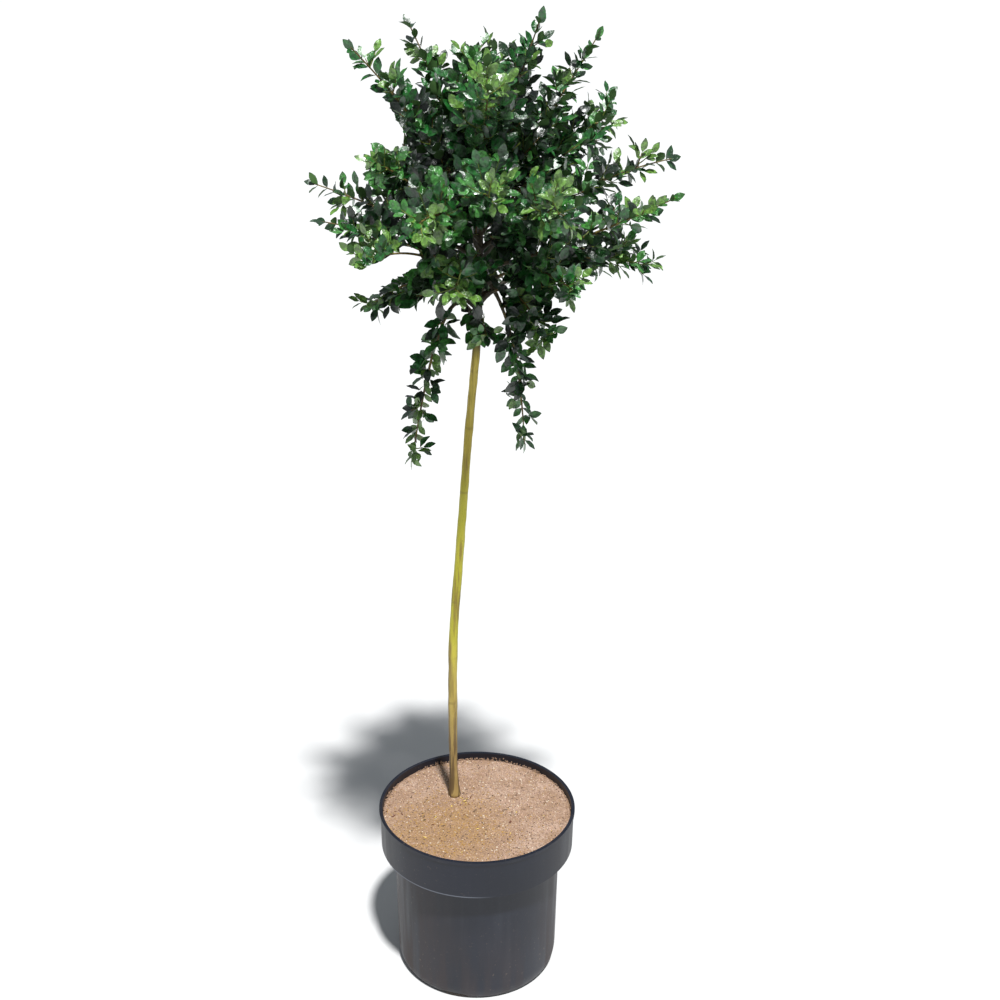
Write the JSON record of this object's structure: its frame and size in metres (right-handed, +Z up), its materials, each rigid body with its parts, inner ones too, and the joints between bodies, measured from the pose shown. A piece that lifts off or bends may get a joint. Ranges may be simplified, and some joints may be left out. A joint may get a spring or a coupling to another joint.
{
  "type": "potted evergreen standard shrub",
  "caption": "Small evergreen shrub trained as a standard: a loose rounded head with two weeping shoots on a slim clear stem, planted in a round black nursery pot with a deep collar.",
  "frame": {"origin": "centre of the pot's flat underside, on the surface it stands on", "axes": "+Z up along the stem, +X to the right and -Y to the front as the plant is first seen"},
  "size_m": [0.5009, 0.457, 1.4239],
  "materials": {
    "pot_plastic": "moulded black nursery-pot plastic, satin, lightly scuffed and dusty",
    "potting_mix": "dry light brown potting mix, crumbly and matt",
    "trunk_bark": "smooth olive-green young bark with brown flushes and knots",
    "bough_bark": "thin green-brown bark",
    "foliage": "small oval leaves, leathery, dark green and glossy, lighter at the shoot tips"
  },
  "bodies": {
    "root": {"pot": "pot_plastic", "potting_mix": "potting_mix", "trunk": "trunk_bark", "foliage_top_middle": "foliage", "bough_top_left": "bough_bark", "foliage_top_left": "foliage", "bough_top_far_left": "bough_bark", "foliage_top_far_left": "foliage", "bough_top_centre": "bough_bark", "foliage_top_centre": "foliage", "bough_top_right": "bough_bark", "foliage_top_right": "foliage", "bough_top_back": "bough_bark", "foliage_top_back": "foliage", "bough_top_front": "bough_bark", "foliage_top_front": "foliage", "bough_upper_right": "bough_bark", "foliage_upper_right": "foliage", "bough_right_upper": "bough_bark", "foliage_right_upper": "foliage", "bough_right": "bough_bark", "foliage_right": "foliage", "bough_right_low": "bough_bark", "foliage_right_low": "foliage", "bough_left_upper": "bough_bark", "foliage_left_upper": "foliage", "bough_left": "bough_bark", "foliage_left": "foliage", "bough_left_low": "bough_bark", "foliage_left_low": "foliage", "bough_front_left": "bough_bark", "foliage_front_left": "foliage", "bough_front_right": "bough_bark", "foliage_front_right": "foliage", "bough_front": "bough_bark", "foliage_front": "foliage", "bough_back_left": "bough_bark", "foliage_back_left": "foliage", "bough_back_right": "bough_bark", "foliage_back_right": "foliage", "bough_back": "bough_bark", "foliage_back": "foliage", "bough_left_lobe": "bough_bark", "foliage_left_lobe": "foliage", "bough_lower_left": "bough_bark", "foliage_lower_left": "foliage", "bough_front_low": "bough_bark", "foliage_front_low": "foliage", "bough_lower_right": "bough_bark", "foliage_lower_right": "foliage", "bough_low_right": "bough_bark", "foliage_low_right": "foliage", "bough_back_low": "bough_bark", "foliage_back_low": "foliage", "foliage_trunk_spray": "foliage", "bough_weeping_left": "bough_bark", "foliage_weeping_left": "foliage", "bough_weeping_right": "bough_bark", "foliage_weeping_right": "foliage"}
  },
  "joints": []
}
